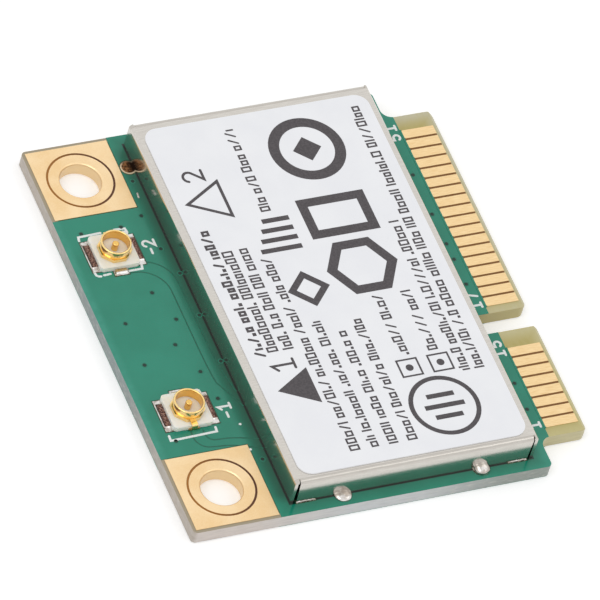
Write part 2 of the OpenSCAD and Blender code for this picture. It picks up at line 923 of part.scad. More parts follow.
module crystal_base() {
    color("tan")
        in_can()
            at_spots([crystal_spot])
                translate([-crystal_l / 2, -crystal_w / 2, seat_z])
                    cube([crystal_l, crystal_w, crystal_base_h]);
}

module crystal_lid() {
    color("silver")
        in_can()
            at_spots([crystal_spot])
                translate([0, 0, seat_z + crystal_base_h])
                    linear_extrude(crystal_lid_h)
                        round_rect(crystal_l - 2 * crystal_lid_rim, crystal_w - 2 * crystal_lid_rim,
                                   crystal_lid_corner_r);
}

module crystal_land_outlines(grow) {
    land_l = crystal_l / 3 + solder_rim;
    land_h = crystal_w / 3 + solder_rim;
    for (sx = [-1, 1], sy = [-1, 1])
        translate([sx * (crystal_l / 2 + solder_rim - land_l / 2), sy * (crystal_w / 2 + solder_rim - land_h / 2)])
            land(land_l, land_h, grow);
}

// Parts with two end terminals. A part is given as length, width, height and terminal length.

module part_core(part) {
    core = [part[0] - 2 * end_metal_t, part[1] - 2 * end_metal_t, part[2] - 2 * end_metal_t];
    translate([-core[0] / 2, -core[1] / 2, seat_z + end_metal_t])
        cube(core);
}

module part_ends(part) {
    difference() {
        for (s = [-1, 1])
            translate([s * (part[0] - part[3]) / 2 - part[3] / 2, -part[1] / 2, seat_z])
                cube([part[3], part[1], part[2]]);
        part_core(part);
    }
}

module part_land_outlines(part, grow) {
    for (s = [-1, 1])
        translate([s * (part[0] + solder_rim - part[3]) / 2, 0])
            land(part[3] + solder_rim, part[1], grow);
}

module part_bodies(part, spots, shade) {
    color(shade)
        in_can()
            at_spots(spots)
                part_core(part);
}

module part_terminals() {
    color("silver")
        in_can() {
            at_spots(small_cap_spots) part_ends(small_part);
            at_spots(resistor_spots) part_ends(resistor_part);
            at_spots(bulk_spots) part_ends(bulk_part);
            at_spots(filter_spots) part_ends(filter_part);
            at_spots([inductor_1_spot, inductor_2_spot]) part_ends(inductor_part);
        }
}

module component_land_outlines(grow) {
    at_spots([chip_spot]) chip_land_outlines(chip_w, chip_terminals, chip_pad_w, grow);
    at_spots(concat(front_end_spots, [regulator_spot]))
        chip_land_outlines(module_w, module_terminal_count, module_pad_w, grow);
    at_spots([crystal_spot]) crystal_land_outlines(grow);
    at_spots(concat(small_cap_spots, resistor_spots)) part_land_outlines(small_part, grow);
    at_spots(concat(bulk_spots, filter_spots)) part_land_outlines(bulk_part, grow);
    at_spots([inductor_1_spot, inductor_2_spot]) part_land_outlines(inductor_part, grow);
}

module component_lands() {
    color("goldenrod")
        in_can()
            translate([0, 0, lam_z1])
                linear_extrude(copper_t)
                    component_land_outlines(0);
}

circuit_board();
solder_mask_top();
solder_mask_bottom();
translate([hole_x, -hole_y, 0]) hole_plating();  // hole_plating_1
translate([hole_x, hole_y, 0]) hole_plating();  // hole_plating_2
translate([hole_x, -hole_y, 0]) ground_land();  // ground_land_1
translate([hole_x, hole_y, 0]) ground_land();  // ground_land_2
contact_row(long_row_count, key_to_long_row, 1, 0, lam_z1);  // contacts_top_long
contact_row(short_row_count, key_to_short_row, -1, 0, lam_z1);  // contacts_top_short
contact_row(long_row_count, key_to_long_row, 1, bottom_shift, lam_z0 - copper_t);  // contacts_bottom_long
contact_row(short_row_count, key_to_short_row, -1, bottom_shift, lam_z0 - copper_t);  // contacts_bottom_short
round_ground_pad();
shield_lands();
shield_can();
shield_solder();
label();
at_socket(1) socket_lands();  // antenna_1_lands
at_socket(1) socket_housing();  // antenna_1_housing
at_socket(1) socket_shell();  // antenna_1_shell
at_socket(1) socket_pin();  // antenna_1_pin
at_socket(1) socket_solder();  // antenna_1_solder
at_socket(2) socket_lands();  // antenna_2_lands
at_socket(2) socket_housing();  // antenna_2_housing
at_socket(2) socket_shell();  // antenna_2_shell
at_socket(2) socket_pin();  // antenna_2_pin
at_socket(2) socket_solder();  // antenna_2_solder
radio_chip();
radio_chip_terminals();
module_body(front_end_spots[0]);  // front_end_module_1
module_body(front_end_spots[1]);  // front_end_module_2
module_body(regulator_spot);  // voltage_regulator
module_terminals();
crystal_base();
crystal_lid();
part_bodies(filter_part, filter_spots, "ivory");  // rf_filters
part_bodies(inductor_part, [inductor_1_spot], "gray");  // power_inductor_1
part_bodies(inductor_part, [inductor_2_spot], "gray");  // power_inductor_2
part_bodies(bulk_part, bulk_spots, "tan");  // bulk_capacitors
part_bodies(small_part, small_cap_spots, "tan");  // small_capacitors
part_bodies(resistor_part, resistor_spots, "black");  // resistors
part_terminals();
component_lands();
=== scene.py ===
"""Looks of the half-size wireless card: finishes, print, board marks, solder, light, floor and camera."""

import json
import math
import random

import bmesh
import bpy
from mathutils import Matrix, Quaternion, Vector, noise


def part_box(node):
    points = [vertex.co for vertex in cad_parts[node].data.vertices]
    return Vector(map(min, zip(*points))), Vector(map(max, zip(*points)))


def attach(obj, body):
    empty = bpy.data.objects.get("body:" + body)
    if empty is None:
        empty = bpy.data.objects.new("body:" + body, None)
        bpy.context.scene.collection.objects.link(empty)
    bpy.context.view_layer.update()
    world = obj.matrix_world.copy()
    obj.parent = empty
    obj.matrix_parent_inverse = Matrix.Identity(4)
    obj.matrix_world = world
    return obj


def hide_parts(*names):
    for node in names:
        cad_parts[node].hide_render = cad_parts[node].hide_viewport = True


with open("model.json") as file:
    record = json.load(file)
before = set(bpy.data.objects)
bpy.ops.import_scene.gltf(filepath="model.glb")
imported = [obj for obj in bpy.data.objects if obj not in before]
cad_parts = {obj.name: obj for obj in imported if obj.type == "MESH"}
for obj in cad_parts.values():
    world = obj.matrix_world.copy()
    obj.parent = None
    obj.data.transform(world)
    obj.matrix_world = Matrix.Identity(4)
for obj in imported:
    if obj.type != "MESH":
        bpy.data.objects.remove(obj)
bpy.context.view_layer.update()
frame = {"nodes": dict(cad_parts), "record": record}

# All sizes below are in millimetres on the card, and become metres when a mesh is made
MM = 0.001


def box_mm(node):
    low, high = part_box(node)
    return low / MM, high / MM


board_low, board_high = box_mm("circuit_board")
mask_low, mask_high = box_mm("solder_mask_top")
can_low, can_high = box_mm("shield_can")
label_low, label_high = box_mm("label")
long_row_low, long_row_high = box_mm("contacts_top_long")
short_row_low, short_row_high = box_mm("contacts_top_short")
pad_low, pad_high = box_mm("round_ground_pad")

REAR_X = board_low.x
TIP_X = board_high.x
SIDE_Y = board_high.y
MASK_Z = mask_high.z
SEAT_Z = can_low.z
TONGUE_SIDE_Y = 12.85
SHOULDER_X = TIP_X - 3.25
KEY_Y = -3.85
KEY_HALF_W = 0.75
HOLE_INSET = 2.9
CAN_MIDDLE_X = (can_low.x + can_high.x) / 2
CAN_MIDDLE_Y = (can_low.y + can_high.y) / 2
CAN_HALF_W = (can_high.y - can_low.y) / 2

# How far ink stands over what it is printed on, and how deep it reaches into it
INK_T = 0.006
INK_SINK = 0.004


def socket_centre(number):
    low, high = box_mm(f"antenna_{number}_housing")
    return (low + high) / 2


SOCKET_X = socket_centre(2).x
SOCKET_SPREAD = socket_centre(2).y


# Finishes


def screen(red, green, blue):
    """A colour given from 0 to 255 as a screen shows it, as a shader takes it."""

    def channel(value):
        share = value / 255
        return share / 12.92 if share <= 0.04045 else ((share + 0.055) / 1.055) ** 2.4

    return (channel(red), channel(green), channel(blue), 1.0)


class Finish:
    """A material whose patterns are worked out from the place on the card, in millimetres."""

    def __init__(self, name, metallic=0.0, roughness=0.4, ior=1.5):
        self.material = bpy.data.materials.new(name)
        self.material.use_nodes = True
        self.nodes = self.material.node_tree.nodes
        self.links = self.material.node_tree.links
        self.shader = self.nodes["Principled BSDF"]
        self.set("Metallic", metallic)
        self.set("Roughness", roughness)
        self.set("IOR", ior)
        coordinates = self.nodes.new("ShaderNodeTexCoord")
        scale = self.nodes.new("ShaderNodeVectorMath")
        scale.operation = "SCALE"
        scale.inputs["Scale"].default_value = 1 / MM
        self.links.new(coordinates.outputs["Object"], scale.inputs[0])
        self.place = scale.outputs[0]
        split = self.nodes.new("ShaderNodeSeparateXYZ")
        self.links.new(self.place, split.inputs[0])
        self.x, self.y, self.z = split.outputs

    def feed(self, socket, value):
        """Links value to a socket where it comes from a node, and else sets it there."""
        if isinstance(value, bpy.types.NodeSocket):
            self.links.new(value, socket)
        else:
            socket.default_value = value

    def set(self, name, value):
        self.feed(self.shader.inputs[name], value)

    def math(self, operation, *values):
        node = self.nodes.new("ShaderNodeMath")
        node.operation = operation
        for socket, value in zip(node.inputs, values):
            self.feed(socket, value)
        return node.outputs[0]

    def step(self, value, low, high, first=0.0, last=1.0):
        """Runs smoothly from first, where value is at low, to last, where it is at high."""
        node = self.nodes.new("ShaderNodeMapRange")
        node.interpolation_type = "SMOOTHSTEP"
        for name, entry in (
            ("Value", value),
            ("From Min", low),
            ("From Max", high),
            ("To Min", first),
            ("To Max", last),
        ):
            self.feed(node.inputs[name], entry)
        return node.outputs["Result"]

    def blend(self, share, first, second):
        node = self.nodes.new("ShaderNodeMix")
        node.data_type = "RGBA"
        self.feed(node.inputs["Factor"], share)
        self.feed(node.inputs[6], first)
        self.feed(node.inputs[7], second)
        return node.outputs[2]

    def fade(self, value, low, high, first, second):
        """The first colour where value is at low, the second where it is at high, and both between."""
        return self.blend(self.step(value, low, high), first, second)

    def length(self, across, along):
        """How long a way is that goes across and along by those amounts."""
        squares = [self.math("MULTIPLY", part, part) for part in (across, along)]
        return self.math("SQRT", self.math("ADD", *squares))

    def noise(self, size, detail=2.0, stretch=(1.0, 1.0, 1.0)):
        """Cloudy noise with spots about size across, longer along an axis where stretch is over 1."""
        squeeze = self.nodes.new("ShaderNodeVectorMath")
        squeeze.operation = "DIVIDE"
        self.links.new(self.place, squeeze.inputs[0])
        squeeze.inputs[1].default_value = stretch
        node = self.nodes.new("ShaderNodeTexNoise")
        self.links.new(squeeze.outputs[0], node.inputs["Vector"])
        node.inputs["Scale"].default_value = 1 / size
        node.inputs["Detail"].default_value = detail
        return node.outputs["Fac"]

    def bump(self, height, depth):
        node = self.nodes.new("ShaderNodeBump")
        node.inputs["Distance"].default_value = depth * MM
        self.links.new(height, node.inputs["Height"])
        self.links.new(node.outputs["Normal"], self.shader.inputs["Normal"])

    def on_top(self):
        """1 on the upper face of the board and over it, 0 on its lower face."""
        return self.step(self.z, 0.4, 0.6)

    def up(self):
        """1 on faces that look up or down, 0 on upright ones."""
        geometry = self.nodes.new("ShaderNodeNewGeometry")
        split = self.nodes.new("ShaderNodeSeparateXYZ")
        self.links.new(geometry.outputs["Normal"], split.inputs[0])
        return self.step(self.math("ABSOLUTE", split.outputs["Z"]), 0.4, 0.8)


def solder_mask_finish():
    """Glossy green lacquer, paler over the bare laminate at the rear edge, with painted shade close to the
    can and a painted contact shadow along the can's foot.
    """
    pour_setback = 0.45
    finish = Finish("solder_mask", roughness=0.12)
    from_rear = finish.math("SUBTRACT", finish.x, REAR_X)
    bare = finish.step(from_rear, pour_setback - 0.3, pour_setback + 0.15, 1.0, 0.0)
    side_part = finish.step(finish.math("ABSOLUTE", finish.y), 12.4, 13.4)
    front_corner = finish.math("MULTIPLY", finish.step(finish.x, 9.2, 10.0, 0.0, 0.8), side_part)
    bare = finish.math("MAXIMUM", bare, front_corner)
    wide_cloud, small_cloud = finish.noise(2.5, 4.0), finish.noise(0.6, 3.0)
    on_copper = finish.fade(wide_cloud, 0.3, 0.7, screen(24, 131, 106), screen(31, 139, 114))
    on_laminate = finish.fade(small_cloud, 0.3, 0.7, screen(40, 141, 118), screen(50, 149, 126))
    open_mask = finish.blend(bare, on_copper, on_laminate)
    # Painted shade on the upper face: darker green round the can, and darker still behind its rear wall
    out_of_can = from_box(finish, can_low, can_high)
    on_top = finish.on_top()
    around_can = finish.math("MULTIPLY", on_top, finish.step(out_of_can, 0.0, 1.0, 0.45, 0.0))
    shaded = finish.blend(around_can, open_mask, screen(10, 92, 70))
    behind = finish.math("SUBTRACT", can_low.x, finish.x)
    past_rear = finish.step(behind, -0.02, 0.0)
    shade = finish.math("MULTIPLY", finish.step(behind, 0.0, 1.3, 0.8, 0.0), past_rear)
    aside = finish.math("ABSOLUTE", finish.math("SUBTRACT", finish.y, CAN_MIDDLE_Y))
    past_wall = finish.math("SUBTRACT", aside, CAN_HALF_W)
    shade = finish.math("MULTIPLY", shade, finish.step(past_wall, -0.9, 0.1, 1.0, 0.0))
    shade = finish.math("MULTIPLY", shade, on_top)
    shaded = finish.blend(shade, shaded, screen(4, 78, 58))
    # Painted contact shadow: a nearly black line along the foot of the can
    foot = finish.math("MULTIPLY", on_top, finish.step(out_of_can, 0.04, 0.13, 0.95, 0.0))
    finish.set("Base Color", finish.blend(foot, shaded, screen(4, 24, 18)))
    finish.set("Roughness", finish.step(finish.noise(1.4, 3.0), 0.3, 0.7, 0.09, 0.16))
    finish.bump(finish.noise(0.5, 2.0), 0.0012)
    return finish.material


def laminate_finish():
    """Glass fibre board: grey to beige edges with painted light and shade along them, dark where the mask is
    open with painted shade in the ring grooves, and an olive tongue.
    """
    finish = Finish("laminate", roughness=0.42)
    layers = finish.noise(0.09, 3.0, (14.0, 14.0, 1.0))
    fibres = finish.noise(0.5, 3.0, (1.0, 1.0, 0.35))
    from_side = finish.math("SUBTRACT", SIDE_Y, finish.math("ABSOLUTE", finish.y))
    from_rear = finish.math("SUBTRACT", finish.x, REAR_X)
    on_tongue = finish.step(finish.x, SHOULDER_X - 0.1, SHOULDER_X + 0.1)

    # Upright faces: painted light and shade, lighter beige near the rear corners and darker grey away from
    # them
    reach = finish.math("ABSOLUTE", finish.y)
    rear = finish.fade(reach, 2.0, 12.5, screen(136, 149, 148), screen(190, 179, 167))
    side = finish.fade(finish.x, -11.0, -2.0, screen(222, 211, 203), screen(207, 210, 211))
    side = finish.fade(finish.x, 0.0, 8.5, side, screen(148, 157, 150))
    edge = finish.fade(from_rear, 0.05, 0.3, rear, side)
    edge = finish.blend(finish.step(layers, 0.4, 0.7, 0.0, 0.16), edge, screen(112, 106, 98))
    edge = finish.blend(finish.step(fibres, 0.45, 0.8, 0.0, 0.4), edge, screen(222, 218, 210))
    key_distance = finish.math("ABSOLUTE", finish.math("SUBTRACT", finish.y, KEY_Y))
    from_key = finish.math("SUBTRACT", key_distance, KEY_HALF_W)
    key_wall = finish.math("MULTIPLY", on_tongue, finish.step(from_key, 0.12, 0.02))
    tongue_wall = finish.fade(layers, 0.35, 0.7, screen(210, 201, 160), screen(196, 187, 145))
    edge = finish.blend(on_tongue, edge, tongue_wall)
    edge = finish.blend(key_wall, edge, screen(198, 186, 132))

    # Faces that look up or down: the tongue, the gaps between contacts, and the mask's openings
    from_tip = finish.math("SUBTRACT", TIP_X, finish.x)
    from_tongue_side = finish.math("SUBTRACT", TONGUE_SIDE_Y, finish.math("ABSOLUTE", finish.y))
    from_edge = finish.math("MINIMUM", finish.math("MINIMUM", from_tongue_side, from_key), from_tip)
    pale = finish.fade(finish.y, -14.0, 8.0, screen(200, 190, 134), screen(198, 192, 162))
    tongue = finish.fade(from_edge, 0.0, 1.1, pale, screen(182, 168, 102))
    weave = finish.noise(0.22, 2.0, (1.0, 3.0, 1.0))
    tongue = finish.blend(finish.step(weave, 0.35, 0.7, 0.0, 0.35), tongue, screen(192, 180, 124))
    fields = [contact_fields(finish, side) for side in ("bottom", "top")]
    between = finish.blend(finish.on_top(), *fields)
    mask_end = finish.step(finish.x, long_row_low.x + 0.06, long_row_low.x + 0.13)
    gap = finish.blend(mask_end, screen(22, 112, 88), screen(128, 84, 32))
    tongue = finish.blend(between, tongue, gap)
    margin = finish.step(finish.math("MINIMUM", from_side, from_rear), 0.3, 0.42)
    # The groove round each hole is dark brown, and darker towards +X as painted shade
    groove = finish.fade(finish.x, -12.6, -8.6, screen(166, 108, 28), screen(86, 40, 4))
    hole_y = finish.math("SUBTRACT", reach, SIDE_Y - HOLE_INSET)
    from_hole = finish.length(finish.math("SUBTRACT", finish.x, REAR_X + HOLE_INSET), hole_y)
    at_hole = finish.step(from_hole, 2.3, 2.5)
    body = finish.blend(margin, screen(164, 152, 128), finish.blend(at_hole, groove, screen(62, 86, 58)))
    flat = finish.fade(finish.x, 9.5, 9.9, body, tongue)
    finish.set("Base Color", finish.blend(finish.up(), edge, flat))
    finish.bump(layers, 0.003)
    return finish.material


def contact_fields(finish, side):
    """1 inside the two rows of contacts of one side of the board, seen from above."""
    fields = [in_rectangle(finish, *box_mm(f"contacts_{side}_{row}")) for row in ("long", "short")]
    return finish.math("MAXIMUM", *fields)


def in_rectangle(finish, low, high):
    """1 inside the rectangle between two corners, seen from above, and 0 outside."""
    return finish.math("LESS_THAN", from_box(finish, low, high), 0.0)


def from_box(finish, low, high):
    """How far a place lies outside a rectangle seen from above. Inside, it is less than 0."""
    ways = []
    for value, start, end in ((finish.x, low.x, high.x), (finish.y, low.y, high.y)):
        offset = finish.math("ABSOLUTE", finish.math("SUBTRACT", value, (start + end) / 2))
        ways.append(finish.math("SUBTRACT", offset, (end - start) / 2))
    return finish.math("MAXIMUM", *ways)


def gold_plate_finish():
    """Matte gold over copper, with the fine grain of the plating and faint streaks along the contacts."""
    finish = Finish("gold_plate", metallic=1.0, roughness=0.36)
    grain = finish.noise(0.07, 3.0)
    cloud = finish.noise(1.6, 3.0)
    streaks = finish.noise(0.05, 3.0, (12.0, 1.0, 1.0))
    at_contacts = finish.step(finish.x, 9.5, 9.8)
    tone = finish.math("ADD", finish.math("MULTIPLY", grain, 0.45), finish.math("MULTIPLY", cloud, 0.55))
    land = finish.fade(tone, 0.35, 0.65, screen(242, 208, 156), screen(250, 222, 178))
    contact = finish.fade(streaks, 0.3, 0.7, screen(238, 204, 150), screen(250, 222, 172))
    flat = finish.blend(at_contacts, land, contact)
    # Painted shade: upright faces, such as the walls of the holes, are a darker gold
    finish.set("Base Color", finish.blend(finish.up(), screen(229, 203, 160), flat))
    finish.set("Roughness", finish.step(grain, 0.3, 0.7, 0.3, 0.42))
    finish.bump(grain, 0.0022)
    return finish.material


def bare_pad_finish():
    """A tarnished copper pad with a tinned rim, bright mostly along one side as a painted highlight, and
    painted shade close to the can.
    """
    finish = Finish("bare_copper_pad", metallic=1.0, roughness=0.3)
    radius = (pad_high.y - pad_low.y) / 2
    across = finish.math("SUBTRACT", finish.x, pad_low.x + radius)
    along = finish.math("SUBTRACT", finish.y, (pad_low.y + pad_high.y) / 2)
    rim = finish.step(finish.length(across, along), radius - 0.12, radius - 0.05)
    # Painted highlight: the bright rim fades away from one side
    toward_highlight = finish.math("ADD", finish.math("MULTIPLY", across, -0.7), finish.math("MULTIPLY", along, -0.7))
    rim = finish.math("MULTIPLY", rim, finish.step(toward_highlight, -0.3, 0.35, 0.12, 1.0))
    stain = finish.step(finish.noise(0.16, 4.0), 0.38, 0.62)
    middle = finish.blend(stain, screen(74, 48, 30), screen(150, 106, 70))
    # Painted shade: the pad turns dark close to the can
    can_shade = finish.step(from_box(finish, can_low, can_high), 0.08, 0.5, 1.0, 0.0)
    middle = finish.blend(can_shade, middle, screen(34, 22, 15))
    finish.set("Base Color", finish.blend(rim, middle, screen(232, 212, 182)))
    finish.set("Roughness", finish.step(finish.noise(0.12, 3.0), 0.3, 0.7, 0.2, 0.45))
    finish.bump(finish.noise(0.12, 3.0), 0.006)
    return finish.material


def tin_finish():
    """Tinned lands, uneven where solder has run over them."""
    finish = Finish("tinned_copper", metallic=1.0, roughness=0.25)
    run = finish.noise(0.2, 4.0)
    finish.set("Base Color", finish.fade(run, 0.38, 0.62, screen(150, 142, 134), screen(236, 234, 230)))
    finish.set("Roughness", finish.step(finish.noise(0.15, 2.0), 0.3, 0.7, 0.16, 0.34))
    finish.bump(run, 0.01)
    return finish.material


def solder_finish():
    """Bright solder with slow waves and dull grey patches."""
    finish = Finish("solder", metallic=1.0, roughness=0.14)
    waves = finish.noise(0.28, 2.0)
    dull = finish.step(finish.noise(0.5, 2.0), 0.42, 0.62)
    finish.set("Base Color", finish.blend(dull, screen(226, 222, 218), screen(184, 175, 167)))
    finish.set("Roughness", finish.step(dull, 0.0, 1.0, 0.12, 0.2))
    finish.bump(waves, 0.01)
    return finish.material


def can_metal_finish():
    """Plated sheet steel with fine rolling lines along the card, smooth enough to mirror the board."""
    finish = Finish("can_metal", metallic=1.0, roughness=0.12)
    lines = finish.noise(0.06, 3.0, (16.0, 1.0, 1.0))
    grain = finish.noise(0.05, 2.0)
    tone = finish.math("ADD", finish.math("MULTIPLY", lines, 0.6), finish.math("MULTIPLY", grain, 0.4))
    sheet = finish.fade(tone, 0.35, 0.65, screen(204, 199, 192), screen(217, 213, 206))
    aside = finish.math("ABSOLUTE", finish.math("SUBTRACT", finish.y, CAN_MIDDLE_Y))
    into_top = finish.math("SUBTRACT", CAN_HALF_W, aside)
    # Painted shade: the fold round the top and a thin line along its crease are darker
    fold = finish.step(into_top, 0.24, 0.32, 0.22, 0.0)
    crease = finish.math("ABSOLUTE", finish.math("SUBTRACT", into_top, 0.28))
    fold_shade = finish.math("MAXIMUM", finish.step(crease, 0.0, 0.035, 0.45, 0.0), fold)
    fold_shade = finish.math("MULTIPLY", fold_shade, finish.step(finish.z, can_high.z - 0.26, can_high.z - 0.2))
    finish.set("Base Color", finish.blend(fold_shade, sheet, screen(140, 132, 122)))
    upright = finish.step(finish.up(), 0.0, 1.0, 0.15, 0.19)
    finish.set("Roughness", finish.math("ADD", upright, finish.step(tone, 0.35, 0.65, -0.015, 0.025)))
    finish.bump(tone, 0.0007)
    return finish.material


def label_film_finish():
    """Satin white plastic film."""
    finish = Finish("label_film", roughness=0.36)
    cloud = finish.noise(3.0, 3.0)
    finish.set("Base Color", finish.fade(cloud, 0.3, 0.7, screen(244, 245, 249), screen(248, 249, 252)))
    finish.set("Roughness", finish.step(finish.noise(0.8, 3.0), 0.3, 0.7, 0.32, 0.42))
    finish.bump(finish.noise(0.1, 2.0), 0.0012)
    return finish.material


def ink_finish(name, dark, light, size):
    """Printing ink that covers a little unevenly."""
    finish = Finish(name, roughness=0.5)
    cover = finish.step(finish.noise(size, 3.0), 0.35, 0.65)
    finish.set("Base Color", finish.blend(cover, dark, light))
    finish.bump(finish.noise(size / 3, 2.0), 0.0015)
    return finish.material


def socket_plastic_finish():
    """Moulded liquid crystal plastic, off white, that lets a little light through."""
    finish = Finish("socket_plastic", roughness=0.45)
    swirl = finish.noise(0.5, 4.0, (1.0, 2.5, 1.0))
    finish.set("Base Color", finish.fade(swirl, 0.3, 0.7, screen(248, 239, 224), screen(252, 247, 238)))
    finish.set("Subsurface Weight", 0.6)
    finish.set("Subsurface Radius", (1.0, 0.9, 0.75))
    finish.set("Subsurface Scale", 0.35 * MM)
    finish.bump(finish.noise(0.08, 2.0), 0.003)
    return finish.material


def socket_metal_finish():
    """Polished gold on the shell, a deeper orange inside its ring as painted shade, tarnished brown on the
    two ground feet and tan on the signal foot.
    """
    finish = Finish("socket_metal", metallic=1.0, roughness=0.14)
    foot_top = SEAT_Z + 0.13
    foot = finish.step(finish.z, foot_top, foot_top + 0.06, 1.0, 0.0)
    drawn = finish.noise(0.1, 3.0, (1.0, 1.0, 3.0))
    shell = finish.fade(drawn, 0.3, 0.7, screen(244, 208, 138), screen(250, 222, 158))
    socket_y = finish.math("SUBTRACT", finish.math("ABSOLUTE", finish.y), SOCKET_SPREAD)
    from_axis = finish.length(finish.math("SUBTRACT", finish.x, SOCKET_X), socket_y)
    # Painted shade: a deeper orange gold inside the ring
    shell = finish.fade(from_axis, 0.84, 0.88, screen(240, 196, 112), shell)
    out = finish.math("ABSOLUTE", finish.math("SUBTRACT", finish.x, SOCKET_X))
    stain = finish.step(finish.noise(0.1, 4.0), 0.42, 0.58)
    ground = finish.blend(stain, screen(74, 50, 46), screen(158, 124, 110))
    ground = finish.blend(finish.step(out, 1.55, 1.68, 0.0, 0.75), ground, screen(58, 44, 42))
    signal = finish.blend(stain, screen(178, 146, 98), screen(214, 186, 138))
    tail = finish.fade(out, 1.2, 1.3, signal, ground)
    finish.set("Base Color", finish.blend(foot, shell, tail))
    finish.set("Roughness", finish.step(foot, 0.0, 1.0, 0.12, 0.3))
    finish.bump(drawn, 0.0015)
    return finish.material


def stone_finish(name, dark, light, size, roughness):
    """A plain fired or pressed material with a mottled tone."""
    finish = Finish(name, roughness=roughness)
    finish.set("Base Color", finish.fade(finish.noise(size, 4.0), 0.35, 0.65, dark, light))
    finish.bump(finish.noise(size / 3, 3.0), 0.003)
    return finish.material


def slot_finishes():
    finishes = {
        "board_laminate": laminate_finish(),
        "solder_mask": solder_mask_finish(),
        "gold_plate": gold_plate_finish(),
        "bare_copper_pad": bare_pad_finish(),
        "tinned_copper": tin_finish(),
        "solder": solder_finish(),
        "can_metal": can_metal_finish(),
        "label_film": label_film_finish(),
        "socket_plastic": socket_plastic_finish(),
        "socket_metal": socket_metal_finish(),
    }
    # Dark and light tone, size of the mottling, roughness
    for slot, dark, light, size, roughness in (
        ("chip_resin", (38, 38, 40), (52, 52, 54), 0.3, 0.6),
        ("ceramic_white", (214, 210, 202), (232, 229, 222), 0.4, 0.5),
        ("ceramic_tan", (158, 124, 84), (186, 152, 110), 0.3, 0.5),
        ("ferrite", (70, 68, 66), (96, 93, 90), 0.2, 0.65),
        ("resistor_coat", (20, 22, 26), (34, 36, 42), 0.3, 0.35),
    ):
        finishes[slot] = stone_finish(slot, screen(*dark), screen(*light), size, roughness)
    return finishes


def dress_frame(finishes):
    """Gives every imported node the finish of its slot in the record."""
    slot_of = {part["node"]: part["material_slot"] for part in frame["record"]["subparts"]}
    for name, node in frame["nodes"].items():
        node.data.materials.clear()
        node.data.materials.append(finishes[slot_of[name]])


# Flat shapes, as outlines in millimetres that run round once


def rectangle(x0, x1, y0, y1):
    return [(x0, y0), (x1, y0), (x1, y1), (x0, y1)]


def arc(x, y, radius, start, end, count):
    """Points on an arc, with angles in degrees from the X axis."""
    angles = [math.radians(start + (end - start) * i / (count - 1)) for i in range(count)]
    return [(x + radius * math.cos(a), y + radius * math.sin(a)) for a in angles]


def disc(x, y, radius, count=24):
    return arc(x, y, radius, 0, 360 * (count - 1) / count, count)


def sides_of(path, width, closed):
    """The two sides of a stroke of that width along a path, with mitred corners."""
    points = [Vector(p) for p in path]
    left, right = [], []
    for i, point in enumerate(points):
        before = points[i - 1] if closed or i > 0 else None
        after = points[(i + 1) % len(points)] if closed or i < len(points) - 1 else None
        ways = [(b - a).normalized() for a, b in ((before, point), (point, after)) if a and b]
        normals = [Vector((-way.y, way.x)) for way in ways]
        across = sum(normals, Vector((0.0, 0.0))).normalized()
        reach = width / 2 / max(across.dot(normals[0]), 0.35)
        left.append(point + across * reach)
        right.append(point - across * reach)
    return left, right


def cap(before, end, width, count=5):
    """Points of the round end of a stroke, without the two where it meets the sides."""
    heading = math.degrees(math.atan2(end[1] - before[1], end[0] - before[0]))
    return arc(end[0], end[1], width / 2, heading - 90, heading + 90, count + 2)[1:-1]


def stroke(path, width):
    """The outline of a stroke with round ends along an open path."""
    left, right = sides_of(path, width, False)
    outline = [tuple(p) for p in right]
    outline += cap(path[-2], path[-1], width)
    outline += [tuple(p) for p in reversed(left)]
    outline += cap(path[1], path[0], width)
    return outline


def eased(path):
    """The path with each of its corners cut off, which rounds it a little."""
    points = [path[0]]
    for (ax, ay), (bx, by) in zip(path, path[1:]):
        points += [(ax + (bx - ax) * share, ay + (by - ay) * share) for share in (0.25, 0.75)]
    return points + [path[-1]]


def moved(path, x, y):
    return [(x + px, y + py) for px, py in path]


class Layer:
    """Flat shapes in one mesh, which stand out of a surface and reach a little way into it."""

    def __init__(self, surface, stand=INK_T):
        self.mesh = bmesh.new()
        self.low = surface - INK_SINK
        self.high = surface + stand

    def ring(self, outline, height):
        return [self.mesh.verts.new((x * MM, y * MM, height * MM)) for x, y in outline]

    def plate(self, outline, lowered=0.0):
        bottom = self.ring(outline, self.low)
        top = self.ring(outline, self.high - lowered)
        self.mesh.faces.new(top)
        self.mesh.faces.new(bottom[::-1])
        for i in range(len(outline)):
            j = (i + 1) % len(outline)
            self.mesh.faces.new((bottom[i], bottom[j], top[j], top[i]))

    def line(self, path, width, lowered=0.0):
        self.plate(stroke(path, width), lowered)

    def band(self, path, width):
        """A closed band along a path that runs round once."""
        sides = sides_of(path, width, True)
        rings = [self.ring(side, height) for side in sides for height in (self.low, self.high)]
        left_low, left_high, right_low, right_high = rings
        for i in range(len(path)):
            j = (i + 1) % len(path)
            self.mesh.faces.new((left_high[i], right_high[i], right_high[j], left_high[j]))
            self.mesh.faces.new((left_low[j], right_low[j], right_low[i], left_low[i]))
            self.mesh.faces.new((right_low[i], right_low[j], right_high[j], right_high[i]))
            self.mesh.faces.new((left_high[i], left_high[j], left_low[j], left_low[i]))

    def numeral(self, number, foot_x, start_y, height, width):
        """A numeral whose top looks to -X and that reads along +Y."""
        for i, path in enumerate(numeral_paths(number)):
            placed = [(foot_x - v * height, start_y + u * height) for u, v in path]
            self.line(placed, width, lowered=0.0015 * i)


def new_piece(name, mesh, *materials):
    """Turns a bmesh into a piece of the card that rides with it."""
    bmesh.ops.recalc_face_normals(mesh, faces=mesh.faces)
    data = bpy.data.meshes.new(name)
    mesh.to_mesh(data)
    mesh.free()
    for material in materials:
        data.materials.append(material)
    piece = bpy.data.objects.new(name, data)
    bpy.context.scene.collection.objects.link(piece)
    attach(piece, "root")
    return piece


# Plain numerals, drawn 1 high and about 0.6 wide, with their feet on Y 0


